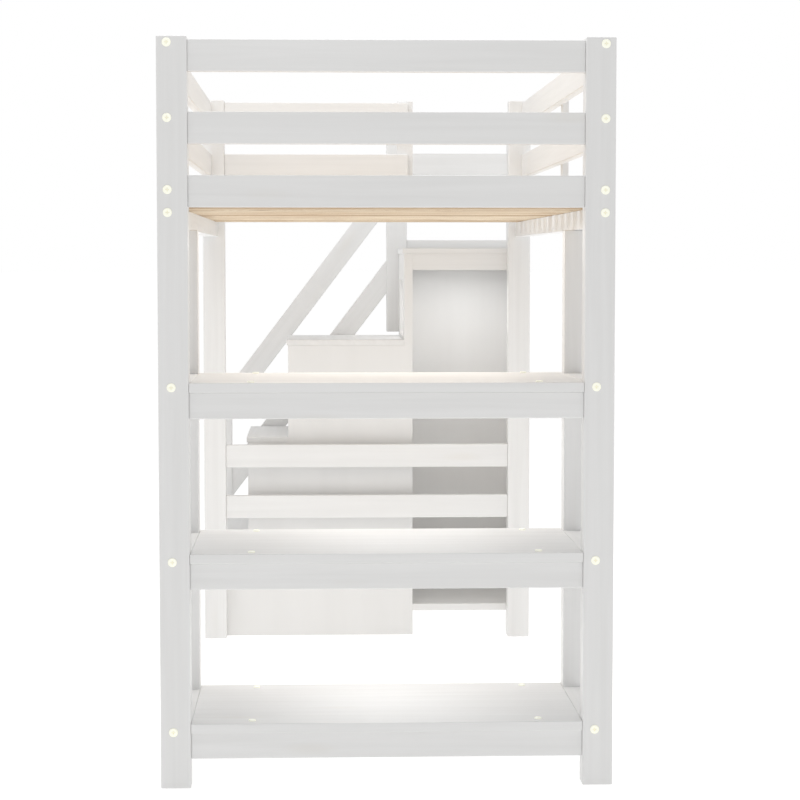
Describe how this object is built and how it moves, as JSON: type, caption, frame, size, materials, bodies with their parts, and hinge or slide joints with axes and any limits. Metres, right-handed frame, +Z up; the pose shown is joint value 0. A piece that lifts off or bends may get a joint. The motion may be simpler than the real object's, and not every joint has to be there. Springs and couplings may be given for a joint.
{
  "type": "loft bed",
  "caption": "Twin loft bed in white painted wood with shelves under its near end and a stepped storage staircase with handrail across its far end.",
  "frame": {"origin": "on the floor, in the middle of the whole piece's width and length", "axes": "+Z up; -Y is the near end with the shelves; +Y is the end with the staircase; the staircase climbs towards +X"},
  "size_m": [1.076, 2.591, 1.731],
  "materials": {
    "white_paint": "satin white paint",
    "raw_pine": "bare, unfinished",
    "cream_plastic": "satin",
    "zinc_steel": "zinc plated",
    "beech_dowel": "bare, fluted look left out"
  },
  "bodies": {
    "root": {"barrel_nuts": "zinc_steel", "bed_end_rail_far": "white_paint", "bed_end_rail_near": "white_paint", "bed_rail_left": "white_paint", "bed_rail_right": "white_paint", "bed_slats": "raw_pine", "bolt_caps": "cream_plastic", "cabinet_divider": "white_paint", "cabinet_floor": "white_paint", "cabinet_side_panel": "white_paint", "cabinet_top_rail": "white_paint", "connector_bolts": "zinc_steel", "dowel_pins": "beech_dowel", "entry_stile": "white_paint", "guard_battens": "white_paint", "guard_rail_far_middle": "white_paint", "guard_rail_far_top": "white_paint", "guard_rail_left_middle": "white_paint", "guard_rail_left_top": "white_paint", "guard_rail_near_middle": "white_paint", "guard_rail_near_top": "white_paint", "guard_rail_right_middle": "white_paint", "guard_rail_right_top": "white_paint", "inner_post_left": "white_paint", "inner_post_right": "white_paint", "low_rail_far_lower": "white_paint", "low_rail_far_upper": "white_paint", "newel_end": "white_paint", "newel_high": "white_paint", "newel_low": "white_paint", "platform_board": "white_paint", "platform_rail_lower": "white_paint", "platform_rail_upper": "white_paint", "post_far_left": "white_paint", "post_far_right": "white_paint", "post_near_left": "white_paint", "post_near_right": "white_paint", "riser_high": "white_paint", "riser_low": "white_paint", "riser_middle": "white_paint", "shelf_apron_front_high": "white_paint", "shelf_apron_front_low": "white_paint", "shelf_apron_front_middle": "white_paint", "shelf_aprons_rear": "white_paint", "shelf_bearers": "white_paint", "shelf_board_high": "white_paint", "shelf_board_low": "white_paint", "shelf_board_middle": "white_paint", "shelf_screw_caps": "cream_plastic", "slat_ledgers": "white_paint", "sloped_rail_lower": "white_paint", "sloped_rail_upper": "white_paint", "stair_cleats": "white_paint", "stair_panel_inner": "white_paint", "stair_panel_outer": "white_paint", "tread_high": "white_paint", "tread_low": "white_paint", "tread_middle": "white_paint", "wood_screws": "zinc_steel"}
  },
  "joints": []
}
